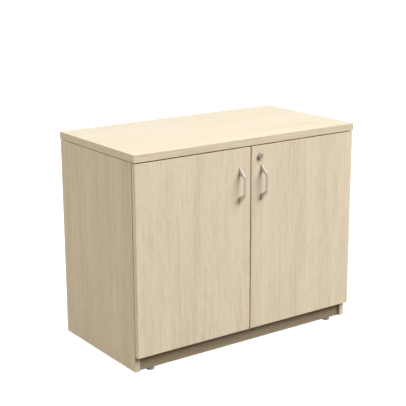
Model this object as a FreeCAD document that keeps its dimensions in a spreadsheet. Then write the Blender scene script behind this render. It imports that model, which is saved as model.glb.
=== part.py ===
import FreeCAD, Part
import math
import os
import Sketcher

doc = FreeCAD.newDocument("StorageCabinet")
sheet = doc.addObject("Spreadsheet::Sheet", "dim")

# Driving sizes, in millimetres
sizes = {
    # Whole cabinet
    "width": 914.4,
    "depth": 482.6,
    "height": 736.6,
    "foot_rise": 8.0,
    # Top
    "top_thick": 25.4,
    "top_band": 2.0,
    "top_round": 1.2,
    "top_side_overhang": 2.0,
    "top_front_overhang": 1.7,
    "top_rear_overhang": 0.8,
    # Carcass boards
    "side_thick": 18.0,
    "side_groove_height": 2.5,
    "side_groove_depth": 4.0,
    "deck_thick": 18.0,
    "back_thick": 16.0,
    "back_inset": 10.0,
    "kick_thick": 18.0,
    "kick_height": 56.0,
    "kick_setback": 9.0,
    "rail_thick": 18.0,
    "rail_depth": 90.0,
    "edge_band": 1.0,
    # Shelf and its pins
    "shelf_thick": 18.0,
    "shelf_setback": 12.0,
    "shelf_side_gap": 1.0,
    "shelf_rear_gap": 2.0,
    "shelf_pin_radius": 2.5,
    "shelf_pin_depth": 10.0,
    "shelf_tab_length": 11.0,
    "shelf_tab_width": 8.0,
    "shelf_tab_thick": 4.0,
    "pin_hole_depth": 12.0,
    "pin_pitch": 32.0,
    "pin_first_height": 230.0,
    "pin_front_inset": 37.0,
    "pin_rear_inset": 60.0,
    # Dowels, cam fittings and top screws
    "dowel_radius": 4.0,
    "dowel_in_side": 11.0,
    "dowel_in_board": 19.0,
    "cam_disc_radius": 7.5,
    "cam_disc_depth": 12.5,
    "cam_edge": 24.0,
    "cam_behind_rail": 14.0,
    "cam_before_back": 66.0,
    "cam_bolt_radius": 3.0,
    "cam_bolt_grip": 11.0,
    "top_screw_radius": 2.0,
    "top_screw_head_radius": 4.0,
    "top_screw_head": 3.0,
    "top_screw_grip": 14.0,
    # Levelling feet
    "foot_inset": 69.0,
    "foot_pad_radius": 13.5,
    "foot_pad_top_radius": 11.5,
    "foot_pad_rim": 3.0,
    "foot_pad_height": 6.5,
    "foot_socket_depth": 4.0,
    "stud_radius": 4.0,
    "stud_top_height": 45.0,
    "stud_collar_radius": 7.0,
    "insert_radius": 5.5,
    "insert_length": 20.0,
    "stud_bore_slack": 0.5,
    "stud_bore_top": 4.0,
    # Doors
    "door_thick": 18.0,
    "door_band": 2.0,
    "door_round": 1.5,
    "door_lift": 54.2,
    "top_reveal": 3.5,
    "middle_reveal": 3.5,
    "bumper_gap": 2.0,
    "bumper_radius": 4.0,
    "bumper_inset": 14.0,
    # Pulls
    "pull_offset": 46.0,
    "pull_drop": 126.2,
    "pull_centres": 101.6,
    "pull_length": 121.0,
    "pull_foot_length": 21.0,
    "pull_foot_edge": 2.5,
    "pull_foot_bend_radius": 4.0,
    "pull_reach": 30.0,
    "pull_grip_length": 67.0,
    "pull_finger_length": 55.0,
    "pull_bar_width": 8.5,
    "pull_bar_thick": 5.0,
    "pull_bend_radius": 14.0,
    "pull_finger_bend_radius": 10.0,
    "pull_round": 1.8,
    "pull_screw_radius": 2.0,
    "pull_screw_grip": 5.0,
    "pull_screw_head_radius": 4.0,
    "pull_screw_head": 2.4,
    # Cup hinges
    "hinge_inset": 95.0,
    "cup_radius": 17.5,
    "cup_edge": 5.0,
    "cup_depth": 12.6,
    "cup_wall": 1.0,
    "cup_floor": 0.9,
    "cup_ear_width": 20.0,
    "cup_ear_reach": 28.0,
    "cup_ear_thick": 1.2,
    "cup_screw_spread": 22.5,
    "cup_screw_radius": 1.75,
    "cup_screw_length": 10.0,
    "cup_screw_head_radius": 3.5,
    "cup_screw_head": 0.6,
    "inner_cup_pivot_edge": 9.0,
    "inner_cup_pivot_depth": 8.0,
    "outer_cup_pivot_edge": 9.25,
    "outer_cup_pivot_depth": 4.5,
    "inner_arm_pivot_out": 30.0,
    "inner_arm_pivot_in": 0.0,
    "outer_arm_pivot_out": 36.0,
    "outer_arm_pivot_in": 10.0,
    "inner_bend_edge": 19.9,
    "inner_bend_depth": 9.75,
    "outer_bend_edge": 18.0,
    "outer_bend_depth": 6.4,
    "pin_radius": 0.9,
    "pin_seat": 0.4,
    "running_clearance": 0.05,
    "inner_link_half": 2.5,
    "outer_link_thick": 1.2,
    "link_bar": 2.0,
    "link_cup_eye_radius": 1.9,
    "link_arm_eye_radius": 2.3,
    "link_side_gap": 0.25,
    "slot_travel": 1.1,
    "slot_side_clearance": 0.35,
    "slot_eye_radius": 2.6,
    "arm_cheek": 1.5,
    "arm_nose": 1.7,
    "arm_back": 60.0,
    "arm_web": 1.5,
    "arm_web_out": 39.5,
    "plate_thick": 2.0,
    "plate_inset": 37.0,
    "plate_width": 34.0,
    "plate_reach": 22.0,
    "plate_screw_spread": 16.0,
    "plate_screw_radius": 1.75,
    "plate_screw_length": 12.0,
    "plate_screw_head_radius": 3.25,
    "plate_screw_head": 1.4,
    "riser_length": 32.0,
    # Lock and its strike
    "lock_offset": 36.5,
    "lock_drop": 35.2,
    "lock_reach": 10.0,
    "lock_collar_radius": 9.5,
    "lock_collar_round": 1.0,
    "lock_barrel_radius": 8.0,
    "lock_barrel_behind": 9.0,
    "lock_plug_radius": 5.5,
    "lock_nut_radius": 12.0,
    "lock_nut_thick": 4.0,
    "key_slot_width": 1.4,
    "key_slot_length": 7.0,
    "key_slot_depth": 6.0,
    "lock_cam_length": 17.5,
    "lock_cam_width": 11.0,
    "lock_cam_thick": 2.5,
    "lock_cam_gap": 0.5,
    "cam_screw_radius": 2.0,
    "cam_screw_grip": 8.0,
    "cam_screw_head_radius": 4.0,
    "cam_screw_head": 2.4,
    "strike_thick": 2.0,
    "strike_width": 34.0,
    "strike_drop": 11.0,
    "strike_depth": 24.0,
    "strike_gap": 0.8,
    "strike_screw_radius": 1.75,
    "strike_screw_length": 11.0,
    "strike_screw_head_radius": 3.25,
    "strike_screw_head": 1.6,
    "strike_screw_spread": 10.0,
    # Bolt on the left door
    "bolt_offset": 24.0,
    "bolt_plate_width": 18.0,
    "bolt_plate_length": 56.0,
    "bolt_plate_thick": 2.0,
    "bolt_plate_drop": 12.0,
    "bolt_lug_width": 12.0,
    "bolt_lug_thick": 6.0,
    "bolt_lug_reach": 12.0,
    "bolt_rod_radius": 3.0,
    "bolt_rod_length": 74.0,
    "bolt_rod_out": 7.0,
    "bolt_top_gap": 1.5,
    "bolt_throw": 12.0,
    "bolt_hole_slack": 0.5,
    "bolt_knob_radius": 2.5,
    "bolt_knob_length": 9.0,
    "bolt_knob_drop": 38.0,
    "bolt_screw_radius": 1.75,
    "bolt_screw_length": 11.0,
    "bolt_screw_head_radius": 3.0,
    "bolt_screw_head": 1.4,
    # Overrun of every cut past the face that it opens
    "overrun": 3.0,
}

for row, (alias, value) in enumerate(sizes.items(), start=1):
    sheet.set(f"A{row}", str(value))
    sheet.setAlias(f"A{row}", alias)
doc.recompute()

# Places along the boards, as shares of the board that carries them
rail_dowel_shares = (0.35, 0.8)
back_dowel_shares = (0.2, 0.55, 0.9)
top_screw_shares = (-0.6, 0.0, 0.6)
rail_screw_share = 0.6
bolt_screw_shares = (0.32, 0.62)
pin_rows = 11
pin_rows_below_shelf = 5

# Main planes of the cabinet, with x to the right, y to the back and z up from the floor
HALF = "(dim.width / 2 - dim.top_side_overhang)"
INNER = f"({HALF} - dim.side_thick)"
TOP_FRONT = "((dim.pull_reach - dim.top_front_overhang - dim.depth) / 2)"
DOOR_FRONT = f"({TOP_FRONT} + dim.top_front_overhang)"
DOOR_BACK = f"({DOOR_FRONT} + dim.door_thick)"
FRONT = f"({DOOR_BACK} + dim.bumper_gap)"
REAR = f"({TOP_FRONT} + dim.depth - dim.top_rear_overhang)"
TOP_UNDER = "(dim.height - dim.top_thick)"
SIDE_DEPTH = f"({REAR} - {FRONT})"
SIDE_HEIGHT = f"({TOP_UNDER} - dim.foot_rise)"
BACK_FACE = f"({REAR} - dim.back_inset - dim.back_thick)"
BACK_MID = f"({BACK_FACE} + dim.back_thick / 2)"
KICK_FACE = f"({FRONT} + dim.kick_setback)"
KICK_MID = f"({KICK_FACE} + dim.kick_thick / 2)"
DECK_UNDER = "(dim.foot_rise + dim.kick_height)"
RAIL_UNDER = f"({TOP_UNDER} - dim.rail_thick)"
DOOR_BOTTOM = "(dim.foot_rise + dim.door_lift)"
DOOR_TOP = f"({TOP_UNDER} - dim.top_reveal)"
DOOR_HEIGHT = f"({DOOR_TOP} - {DOOR_BOTTOM})"
DOOR_WIDTH = f"({HALF} - dim.middle_reveal / 2)"

TURN = {
    "X": FreeCAD.Rotation(FreeCAD.Vector(0, 1, 0), 90),
    "Y": FreeCAD.Rotation(FreeCAD.Vector(1, 0, 0), -90),
    "Z": FreeCAD.Rotation(),
}
nodes = []


def size(alias):
    return float(sheet.get(alias))


def node(obj):
    nodes.append(obj)
    return obj


def place(obj, x, y, z, axis="Z"):
    obj.Placement = FreeCAD.Placement(FreeCAD.Vector(), TURN[axis])
    obj.setExpression("Placement.Base.x", x)
    obj.setExpression("Placement.Base.y", y)
    obj.setExpression("Placement.Base.z", z)
    return obj


def box(name, x, y, z, length, width, height):
    obj = doc.addObject("Part::Box", name)
    obj.setExpression("Length", length)
    obj.setExpression("Width", width)
    obj.setExpression("Height", height)
    return place(obj, x, y, z)


def rod(name, axis, x, y, z, radius, length):
    obj = doc.addObject("Part::Cylinder", name)
    obj.setExpression("Radius", radius)
    obj.setExpression("Height", length)
    return place(obj, x, y, z, axis)


def hexagon(name, axis, x, y, z, radius, length):
    obj = doc.addObject("Part::Prism", name)
    obj.Polygon = 6
    obj.setExpression("Circumradius", radius)
    obj.setExpression("Height", length)
    return place(obj, x, y, z, axis)


def fuse(name, shapes):
    obj = doc.addObject("Part::MultiFuse", name)
    obj.Shapes = shapes
    return obj


def group(name, shapes):
    obj = doc.addObject("Part::Compound", name)
    obj.Links = shapes
    return obj


def cut(name, base, tools):
    obj = doc.addObject("Part::Cut", name)
    obj.Base = base
    obj.Tool = tools[0] if len(tools) == 1 else group(name + "_cuts", tools)
    return obj


def mirror(obj, name=None):
    twin = doc.addObject("Part::Mirroring", name or obj.Name + "_twin")
    twin.Source = obj
    twin.Base = FreeCAD.Vector(0, 0, 0)
    twin.Normal = FreeCAD.Vector(1, 0, 0)
    return twin


def rounded(name, block, along, radius):
    # Rounds the edges of a block that don't run along the given direction
    doc.recompute()
    picked = []
    for number, edge in enumerate(block.Shape.Edges, start=1):
        run = edge.Vertexes[1].Point - edge.Vertexes[0].Point
        if abs(run.normalize().dot(along)) < 0.5:
            picked.append((number, size(radius), size(radius)))
    obj = doc.addObject("Part::Fillet", name)
    obj.Base = block
    obj.Edges = picked
    return obj


def origin_plane(body, role):
    return next(item for item in body.Origin.OriginFeatures if item.Role == role)


def turned(name, axis, x, y, z, outline):
    # A turned piece: a closed outline of (radius, height) corners revolved about its own axis
    body = doc.addObject("PartDesign::Body", name)
    sketch = body.newObject("Sketcher::SketchObject", name + "_outline")
    sketch.AttachmentSupport = [(origin_plane(body, "XZ_Plane"), "")]
    sketch.MapMode = "FlatFace"
    corners = [FreeCAD.Vector(sheet.evalExpression(out), sheet.evalExpression(up), 0) for out, up in outline]
    count = len(corners)
    for index in range(count):
        sketch.addGeometry(Part.LineSegment(corners[index], corners[(index + 1) % count]))
    for index in range(count):
        sketch.addConstraint(Sketcher.Constraint("Coincident", index, 2, (index + 1) % count, 1))
    for index, (radius, height) in enumerate(outline):
        for kind, text, value, line in (("DistanceX", radius, corners[index].x, -2),
                                        ("DistanceY", height, corners[index].y, -1)):
            if text == "0":
                sketch.addConstraint(Sketcher.Constraint("PointOnObject", index, 1, line))
            else:
                number = sketch.addConstraint(Sketcher.Constraint(kind, -1, 1, index, 1, value))
                sketch.setExpression(f"Constraints[{number}]", text)
    turn = body.newObject("PartDesign::Revolution", name + "_turn")
    turn.Profile = sketch
    turn.ReferenceAxis = (sketch, ["V_Axis"])
    turn.Angle = 360
    return place(body, x, y, z, axis)


# Top: a thick board with a rounded edge band all round
top_block = box("top_block", "-dim.width / 2", TOP_FRONT, TOP_UNDER, "dim.width", "dim.depth", "dim.top_thick")
top_core = box(
    "top_core", "-dim.width / 2 + dim.top_band", f"{TOP_FRONT} + dim.top_band", TOP_UNDER,
    "dim.width - 2 * dim.top_band", "dim.depth - 2 * dim.top_band", "dim.top_thick")
top_soft = rounded("top_soft", top_block, FreeCAD.Vector(0, 0, 1), "top_round")
node(cut("top_edge_band", top_soft, [top_core]))

# Dowels: plain pins glued across each butt joint with the side panels
dowels = []
kick_pegs = []
rail_pegs = []
back_pegs = []
PEG_LENGTH = "dim.dowel_in_board + dim.dowel_in_side"
PEG_START = f"-{INNER} - dim.dowel_in_side"


def peg(name, y, z, board):
    left = rod(name, "X", PEG_START, y, z, "dim.dowel_radius", PEG_LENGTH)
    right = mirror(left)
    dowels.extend((left, right))
    board.extend((left, right))
    return left


side_cuts = [peg("kick_peg", KICK_MID, "dim.foot_rise + dim.kick_height / 2", kick_pegs)]
for number, share in enumerate(rail_dowel_shares, start=1):
    spot = f"{FRONT} + {share} * dim.rail_depth"
    side_cuts.append(peg(f"rail_peg_{number}", spot, f"{TOP_UNDER} - dim.rail_thick / 2", rail_pegs))
for number, share in enumerate(back_dowel_shares, start=1):
    spot = f"dim.foot_rise + {share} * {SIDE_HEIGHT}"
    side_cuts.append(peg(f"back_peg_{number}", BACK_MID, spot, back_pegs))
node(group("dowels", dowels))

# Cam fittings: discs that draw the top and the deck onto the side panels by their bolts
cam_bolts = []
cam_discs = []
top_cuts = []
deck_cuts = []
for number, spot in enumerate((f"({FRONT} + dim.rail_depth + dim.cam_behind_rail)",
                               f"({BACK_FACE} - dim.cam_before_back)"), start=1):
    bolt = rod(
        f"top_cam_bolt_{number}", "Z", f"-{INNER} - dim.side_thick / 2", spot, f"{TOP_UNDER} - dim.cam_edge",
        "dim.cam_bolt_radius", "dim.cam_edge + dim.cam_bolt_grip")
    bore = rod(
        f"top_cam_bore_{number}", "X", f"-{INNER} - dim.cam_disc_depth", spot, f"{TOP_UNDER} - dim.cam_edge",
        "dim.cam_disc_radius", "dim.cam_disc_depth")
    disc = cut(f"top_cam_disc_{number}", bore, [bolt])
    cam_bolts.extend((bolt, mirror(bolt)))
    cam_discs.extend((disc, mirror(disc)))
    side_cuts.extend((bolt, bore))
    top_cuts.extend(cam_bolts[-2:])
    bolt = rod(
        f"deck_cam_bolt_{number}", "X", f"-{INNER} - dim.cam_bolt_grip", spot, f"{DECK_UNDER} + dim.deck_thick / 2",
        "dim.cam_bolt_radius", "dim.cam_edge + dim.cam_bolt_grip")
    bore = rod(
        f"deck_cam_bore_{number}", "Z", f"-{INNER} + dim.cam_edge", spot, DECK_UNDER,
        "dim.cam_disc_radius", "dim.cam_disc_depth")
    disc = cut(f"deck_cam_disc_{number}", bore, [bolt])
    cam_bolts.extend((bolt, mirror(bolt)))
    cam_discs.extend((disc, mirror(disc)))
    side_cuts.append(bolt)
    deck_cuts.extend((bolt, mirror(bolt), bore, mirror(bore)))
node(group("cam_bolts", cam_bolts))
node(group("cam_discs", cam_discs))

# Top screws: driven up through the front rail into the top
top_screws = []
for number, share in enumerate(top_screw_shares, start=1):
    x = f"{share} * {INNER}"
    y = f"{FRONT} + {rail_screw_share} * dim.rail_depth"
    shank = rod(
        f"top_screw_shank_{number}", "Z", x, y, RAIL_UNDER,
        "dim.top_screw_radius", "dim.rail_thick + dim.top_screw_grip")
    head = rod(f"top_screw_head_{number}", "Z", x, y, RAIL_UNDER, "dim.top_screw_head_radius", "dim.top_screw_head")
    top_screws.append(fuse(f"top_screw_{number}", [shank, head]))
node(group("top_screws", top_screws))
node(cut("top_panel", top_core, top_cuts + top_screws))

# Levelling feet: threaded inserts in the kick and back, each with a stud that stands in a swivelling pad
inserts = []
kick_cuts = list(kick_pegs)
back_cuts = list(back_pegs)
for end, y, cuts in (("front", KICK_MID, kick_cuts), ("rear", BACK_MID, back_cuts)):
    x = f"-{HALF} + dim.foot_inset"
    socket = rod(f"{end}_insert_body", "Z", x, y, "dim.foot_rise", "dim.insert_radius", "dim.insert_length")
    bore = rod(
        f"{end}_stud_bore", "Z", x, y, "dim.foot_rise - dim.overrun",
        "dim.stud_radius + dim.stud_bore_slack",
        "dim.stud_top_height + dim.stud_bore_top - dim.foot_rise + dim.overrun")
    thread = rod(
        f"{end}_thread_bore", "Z", x, y, "dim.foot_rise - dim.overrun",
        "dim.stud_radius + dim.running_clearance", "dim.insert_length + 2 * dim.overrun")
    insert = cut(f"{end}_insert", socket, [thread])
    inserts.extend((insert, mirror(insert)))
    cuts.extend((socket, bore, mirror(socket), mirror(bore)))
    pad = turned(f"{end}_left_foot_pad", "Z", x, y, "0", [
        ("0", "0"),
        ("dim.foot_pad_radius", "0"),
        ("dim.foot_pad_radius", "dim.foot_pad_rim"),
        ("dim.foot_pad_top_radius", "dim.foot_pad_height"),
        ("dim.stud_radius + dim.running_clearance", "dim.foot_pad_height"),
        ("dim.stud_radius + dim.running_clearance", "dim.foot_pad_height - dim.foot_socket_depth"),
        ("0", "dim.foot_pad_height - dim.foot_socket_depth")])
    shank = rod(
        f"{end}_stud_shank", "Z", x, y, "dim.foot_pad_height - dim.foot_socket_depth", "dim.stud_radius",
        "dim.stud_top_height - dim.foot_pad_height + dim.foot_socket_depth")
    collar = hexagon(
        f"{end}_stud_collar", "Z", x, y, "dim.foot_pad_height",
        "dim.stud_collar_radius", "dim.foot_rise - dim.foot_pad_height")
    stud = fuse(f"{end}_left_foot_stud", [shank, collar])
    node(pad)
    node(stud)
    node(mirror(pad, f"{end}_right_foot_pad"))
    node(mirror(stud, f"{end}_right_foot_stud"))
node(group("foot_inserts", inserts))

# Hinges: each has a cup in the door, an arm on a plate in the carcass and two bent links between them
LINK_OUT = "(dim.inner_link_half + 2 * dim.link_side_gap + dim.arm_cheek)"
CUP_MID = f"(-{HALF} + dim.cup_edge + dim.cup_radius)"
CAVITY = "(dim.cup_radius - dim.cup_wall)"
CUP_PIVOT_REACH = (
    f"(sqrt({CAVITY} ^ 2 - (dim.cup_edge + dim.cup_radius - dim.inner_cup_pivot_edge) ^ 2) + dim.pin_seat)")
CUP_PIVOT_C = (f"(-{HALF} + dim.inner_cup_pivot_edge)", f"({DOOR_BACK} - dim.inner_cup_pivot_depth)")
CUP_PIVOT_D = (f"(-{HALF} + dim.outer_cup_pivot_edge)", f"({DOOR_BACK} - dim.outer_cup_pivot_depth)")
ARM_PIVOT_A = (f"(-{HALF} + dim.inner_arm_pivot_out)", f"({FRONT} + dim.inner_arm_pivot_in)")
ARM_PIVOT_B = (f"(-{HALF} + dim.outer_arm_pivot_out)", f"({FRONT} + dim.outer_arm_pivot_in)")
INNER_BEND = (f"(-{HALF} + dim.inner_bend_edge)", f"({DOOR_BACK} - dim.inner_bend_depth)")
OUTER_BEND = (f"(-{HALF} + dim.outer_bend_edge)", f"({DOOR_BACK} - dim.outer_bend_depth)")


def bar(name, start, end, z, wide, thick):
    # A straight flat bar from one plan point to another, centred on the line between them
    run_x = f"({end[0]} - {start[0]})"
    run_y = f"({end[1]} - {start[1]})"
    run = f"sqrt({run_x} ^ 2 + {run_y} ^ 2)"
    obj = doc.addObject("Part::Box", name)
    obj.setExpression("Length", run)
    obj.setExpression("Width", wide)
    obj.setExpression("Height", thick)
    obj.Placement = FreeCAD.Placement(FreeCAD.Vector(), FreeCAD.Rotation(FreeCAD.Vector(0, 0, 1), 1))
    obj.setExpression("Placement.Rotation.Angle", f"atan2({run_y}; {run_x})")
    obj.setExpression("Placement.Base.x", f"{start[0]} + {wide} / 2 * {run_y} / {run}")
    obj.setExpression("Placement.Base.y", f"{start[1]} - {wide} / 2 * {run_x} / {run}")
    obj.setExpression("Placement.Base.z", z)
    return obj


hinge = {key: [] for key in (
    "cups", "bores", "cup_pins", "cup_screws", "inner", "outer", "arms", "arm_pins", "plates", "plate_screws")}
for level, height in (("lower", f"({DOOR_BOTTOM} + dim.hinge_inset)"), ("upper", f"({DOOR_TOP} - dim.hinge_inset)")):
    # Cup with its two screw ears
    drum = rod(
        f"{level}_cup_drum", "Y", CUP_MID, f"{DOOR_BACK} - dim.cup_depth", height, "dim.cup_radius", "dim.cup_depth")
    ear = box(
        f"{level}_cup_ear", f"{CUP_MID} - dim.cup_ear_width / 2", DOOR_BACK, f"{height} - dim.cup_ear_reach",
        "dim.cup_ear_width", "dim.cup_ear_thick", "2 * dim.cup_ear_reach")
    cavity = rod(
        f"{level}_cup_cavity", "Y", CUP_MID, f"{DOOR_BACK} - dim.cup_depth + dim.cup_floor", height,
        CAVITY, "dim.cup_depth + dim.overrun")
    pin_c = rod(
        f"{level}_cup_pin_inner", "Z", CUP_PIVOT_C[0], CUP_PIVOT_C[1], f"{height} - {CUP_PIVOT_REACH}",
        "dim.pin_radius", f"2 * {CUP_PIVOT_REACH}")
    stub_start = f"({LINK_OUT} - dim.link_side_gap / 2)"
    pins = [pin_c]
    for part, start in (("top", f"{height} + {stub_start}"), ("bottom", f"{height} - {CUP_PIVOT_REACH}")):
        pins.append(rod(
            f"{level}_cup_pin_{part}", "Z", CUP_PIVOT_D[0], CUP_PIVOT_D[1], start,
            "dim.pin_radius", f"{CUP_PIVOT_REACH} - {stub_start}"))
    cup_screws = []
    for part, sign in (("top", "+"), ("bottom", "-")):
        shank = rod(
            f"{level}_cup_screw_shank_{part}", "Y", CUP_MID, f"{DOOR_BACK} - dim.cup_screw_length",
            f"{height} {sign} dim.cup_screw_spread", "dim.cup_screw_radius",
            "dim.cup_screw_length + dim.cup_ear_thick")
        cap = rod(
            f"{level}_cup_screw_head_{part}", "Y", CUP_MID, f"{DOOR_BACK} + dim.cup_ear_thick",
            f"{height} {sign} dim.cup_screw_spread", "dim.cup_screw_head_radius", "dim.cup_screw_head")
        cup_screws.append(fuse(f"{level}_cup_screw_{part}", [shank, cap]))
    shell = fuse(f"{level}_cup_shell", [drum, ear])
    hinge["cups"].append(cut(f"{level}_cup", shell, [cavity] + pins + cup_screws))
    hinge["bores"].extend([drum] + cup_screws)
    hinge["cup_pins"].extend(pins)
    hinge["cup_screws"].extend(cup_screws)

    # Inner link, one wide bent strap in the middle
    low = f"{height} - dim.inner_link_half"
    tall = "2 * dim.inner_link_half"
    strap = fuse(f"{level}_inner_strap", [
        rod(f"{level}_inner_cup_eye", "Z", *CUP_PIVOT_C, low, "dim.link_cup_eye_radius", tall),
        rod(f"{level}_inner_bend", "Z", *INNER_BEND, low, "dim.link_bar / 2", tall),
        rod(f"{level}_inner_arm_eye", "Z", *ARM_PIVOT_A, low, "dim.link_arm_eye_radius", tall),
        bar(f"{level}_inner_leg", CUP_PIVOT_C, INNER_BEND, low, "dim.link_bar", tall),
        bar(f"{level}_inner_rise", INNER_BEND, ARM_PIVOT_A, low, "dim.link_bar", tall)])
    holes = []
    for part, pivot in (("cup", CUP_PIVOT_C), ("arm", ARM_PIVOT_A)):
        holes.append(rod(
            f"{level}_inner_{part}_hole", "Z", *pivot, f"{low} - dim.overrun",
            "dim.pin_radius + dim.running_clearance", f"{tall} + 2 * dim.overrun"))
    hinge["inner"].append(cut(f"{level}_inner_link", strap, holes))

    # Outer link, a pair of bent plates outside the arm's cheeks, slotted at the arm
    far = f"({LINK_OUT} + dim.outer_link_thick)"
    for part, low in (("top", f"{height} + {LINK_OUT}"), ("bottom", f"{height} - {far}")):
        tall = "dim.outer_link_thick"
        run_x = f"({ARM_PIVOT_B[0]} - {CUP_PIVOT_D[0]})"
        run_y = f"({ARM_PIVOT_B[1]} - {CUP_PIVOT_D[1]})"
        run = f"sqrt({run_x} ^ 2 + {run_y} ^ 2)"
        ends = []
        for sign in ("-", "+"):
            ends.append((f"({ARM_PIVOT_B[0]} {sign} dim.slot_travel * {run_x} / {run})",
                         f"({ARM_PIVOT_B[1]} {sign} dim.slot_travel * {run_y} / {run})"))
        tag = f"{level}_outer_{part}"
        plate = fuse(tag + "_plate", [
            rod(tag + "_cup_eye", "Z", *CUP_PIVOT_D, low, "dim.link_cup_eye_radius", tall),
            rod(tag + "_bend", "Z", *OUTER_BEND, low, "dim.link_bar / 2", tall),
            rod(tag + "_near_eye", "Z", *ends[0], low, "dim.slot_eye_radius", tall),
            rod(tag + "_far_eye", "Z", *ends[1], low, "dim.slot_eye_radius", tall),
            bar(tag + "_leg", CUP_PIVOT_D, OUTER_BEND, low, "dim.link_bar", tall),
            bar(tag + "_rise", OUTER_BEND, ends[0], low, "dim.link_bar", tall),
            bar(tag + "_eye_body", ends[0], ends[1], low, "2 * dim.slot_eye_radius", tall)])
        under = f"{low} - dim.overrun"
        through = f"{tall} + 2 * dim.overrun"
        slot = "dim.pin_radius + dim.slot_side_clearance"
        holes = [
            rod(tag + "_cup_hole", "Z", *CUP_PIVOT_D, under, "dim.pin_radius + dim.running_clearance", through),
            rod(tag + "_slot_near", "Z", *ends[0], under, slot, through),
            rod(tag + "_slot_far", "Z", *ends[1], under, slot, through),
            bar(tag + "_slot_body", ends[0], ends[1], under, f"2 * ({slot})", through)]
        hinge["outer"].append(cut(tag + "_link", plate, holes))

    # Arm: a channel with two cheeks and a web, and the pins that it carries
    cheek_in = "(dim.inner_link_half + dim.link_side_gap)"
    cheek_out = f"({cheek_in} + dim.arm_cheek)"
    nose_x = f"({ARM_PIVOT_A[0]} - dim.arm_nose)"
    nose_y = f"({ARM_PIVOT_A[1]} - dim.arm_nose)"
    arm_width = "(dim.arm_web_out - dim.inner_arm_pivot_out + dim.arm_nose)"
    arm_length = "(dim.arm_back + dim.arm_nose - dim.inner_arm_pivot_in)"
    pin_a = rod(
        f"{level}_arm_pin_inner", "Z", *ARM_PIVOT_A, f"{height} - {cheek_out}", "dim.pin_radius", f"2 * {cheek_out}")
    pin_b = rod(f"{level}_arm_pin_outer", "Z", *ARM_PIVOT_B, f"{height} - {far}", "dim.pin_radius", f"2 * {far}")
    channel = fuse(f"{level}_arm_channel", [
        box(f"{level}_arm_cheek_top", nose_x, nose_y, f"{height} + {cheek_in}", arm_width, arm_length, "dim.arm_cheek"),
        box(f"{level}_arm_cheek_bottom", nose_x, nose_y, f"{height} - {cheek_out}",
            arm_width, arm_length, "dim.arm_cheek"),
        box(f"{level}_arm_web", f"-{HALF} + dim.arm_web_out - dim.arm_web", nose_y, f"{height} - {cheek_out}",
            "dim.arm_web", arm_length, f"2 * {cheek_out}")])
    hinge["arms"].append(cut(f"{level}_arm", channel, [pin_a, pin_b]))
    hinge["arm_pins"].extend((pin_a, pin_b))

    # Mounting plate screwed to the side panel, with a riser that the arm clips over
    plate_screws = []
    for part, sign in (("top", "+"), ("bottom", "-")):
        shank = rod(
            f"{level}_plate_screw_shank_{part}", "X", f"-{INNER} - dim.plate_screw_length",
            f"{FRONT} + dim.plate_inset", f"{height} {sign} dim.plate_screw_spread",
            "dim.plate_screw_radius", "dim.plate_screw_length + dim.plate_thick")
        cap = rod(
            f"{level}_plate_screw_head_{part}", "X", f"-{INNER} + dim.plate_thick",
            f"{FRONT} + dim.plate_inset", f"{height} {sign} dim.plate_screw_spread",
            "dim.plate_screw_head_radius", "dim.plate_screw_head")
        plate_screws.append(fuse(f"{level}_plate_screw_{part}", [shank, cap]))
    wings = box(
        f"{level}_plate_wings", f"-{INNER}", f"{FRONT} + dim.plate_inset - dim.plate_width / 2",
        f"{height} - dim.plate_reach", "dim.plate_thick", "dim.plate_width", "2 * dim.plate_reach")
    riser = box(
        f"{level}_plate_riser", f"-{INNER} + dim.plate_thick", f"{FRONT} + dim.plate_inset - dim.riser_length / 2",
        f"{height} - {cheek_in}", "dim.arm_web_out - dim.arm_web - dim.side_thick - dim.plate_thick",
        "dim.riser_length", f"2 * {cheek_in}")
    whole = fuse(f"{level}_plate_whole", [wings, riser])
    hinge["plates"].append(cut(f"{level}_plate", whole, plate_screws))
    hinge["plate_screws"].extend(plate_screws)
side_cuts.extend(hinge["plate_screws"])
for key, name in (("arms", "hinge_arms"), ("arm_pins", "hinge_arm_pins"), ("plates", "hinge_plates"),
                  ("plate_screws", "hinge_plate_screws")):
    node(group(name, hinge[key] + [mirror(item) for item in hinge[key]]))
for key, name in (("cups", "hinge_cups"), ("cup_pins", "hinge_cup_pins"), ("cup_screws", "hinge_cup_screws"),
                  ("inner", "inner_links"), ("outer", "outer_links")):
    left = node(group("left_" + name, hinge[key]))
    node(mirror(left, "right_" + name))

# Side panels: a board with two rows of shelf pin holes on its inner face
# and a shallow groove along its outer top edge, which draws a shadow line under the top
side_groove = box(
    "side_groove", f"-{HALF} - dim.overrun", f"{FRONT} - dim.overrun", f"{TOP_UNDER} - dim.side_groove_height",
    "dim.side_groove_depth + dim.overrun", f"{SIDE_DEPTH} + 2 * dim.overrun", "dim.side_groove_height + dim.overrun")
side = doc.addObject("PartDesign::Body", "side_board")
outline = side.newObject("Sketcher::SketchObject", "side_outline")
outline.AttachmentSupport = [(origin_plane(side, "YZ_Plane"), "")]
outline.MapMode = "FlatFace"
corners = ((0, 0), (1, 0), (1, 1), (0, 1))
for index in range(4):
    ends = []
    for column, line in (corners[index], corners[(index + 1) % 4]):
        ends.append(FreeCAD.Vector(column * size("depth"), line * size("height"), 0))
    outline.addGeometry(Part.LineSegment(ends[0], ends[1]))
for index in range(4):
    outline.addConstraint(Sketcher.Constraint("Coincident", index, 2, (index + 1) % 4, 1))
outline.addConstraint(Sketcher.Constraint("Coincident", 0, 1, -1, 1))
for index, kind in enumerate(("Horizontal", "Vertical", "Horizontal", "Vertical")):
    outline.addConstraint(Sketcher.Constraint(kind, index))
number = outline.addConstraint(Sketcher.Constraint("DistanceX", 0, 1, 0, 2, size("depth")))
outline.setExpression(f"Constraints[{number}]", f"{SIDE_DEPTH} - dim.edge_band")
number = outline.addConstraint(Sketcher.Constraint("DistanceY", 1, 1, 1, 2, size("height")))
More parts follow.
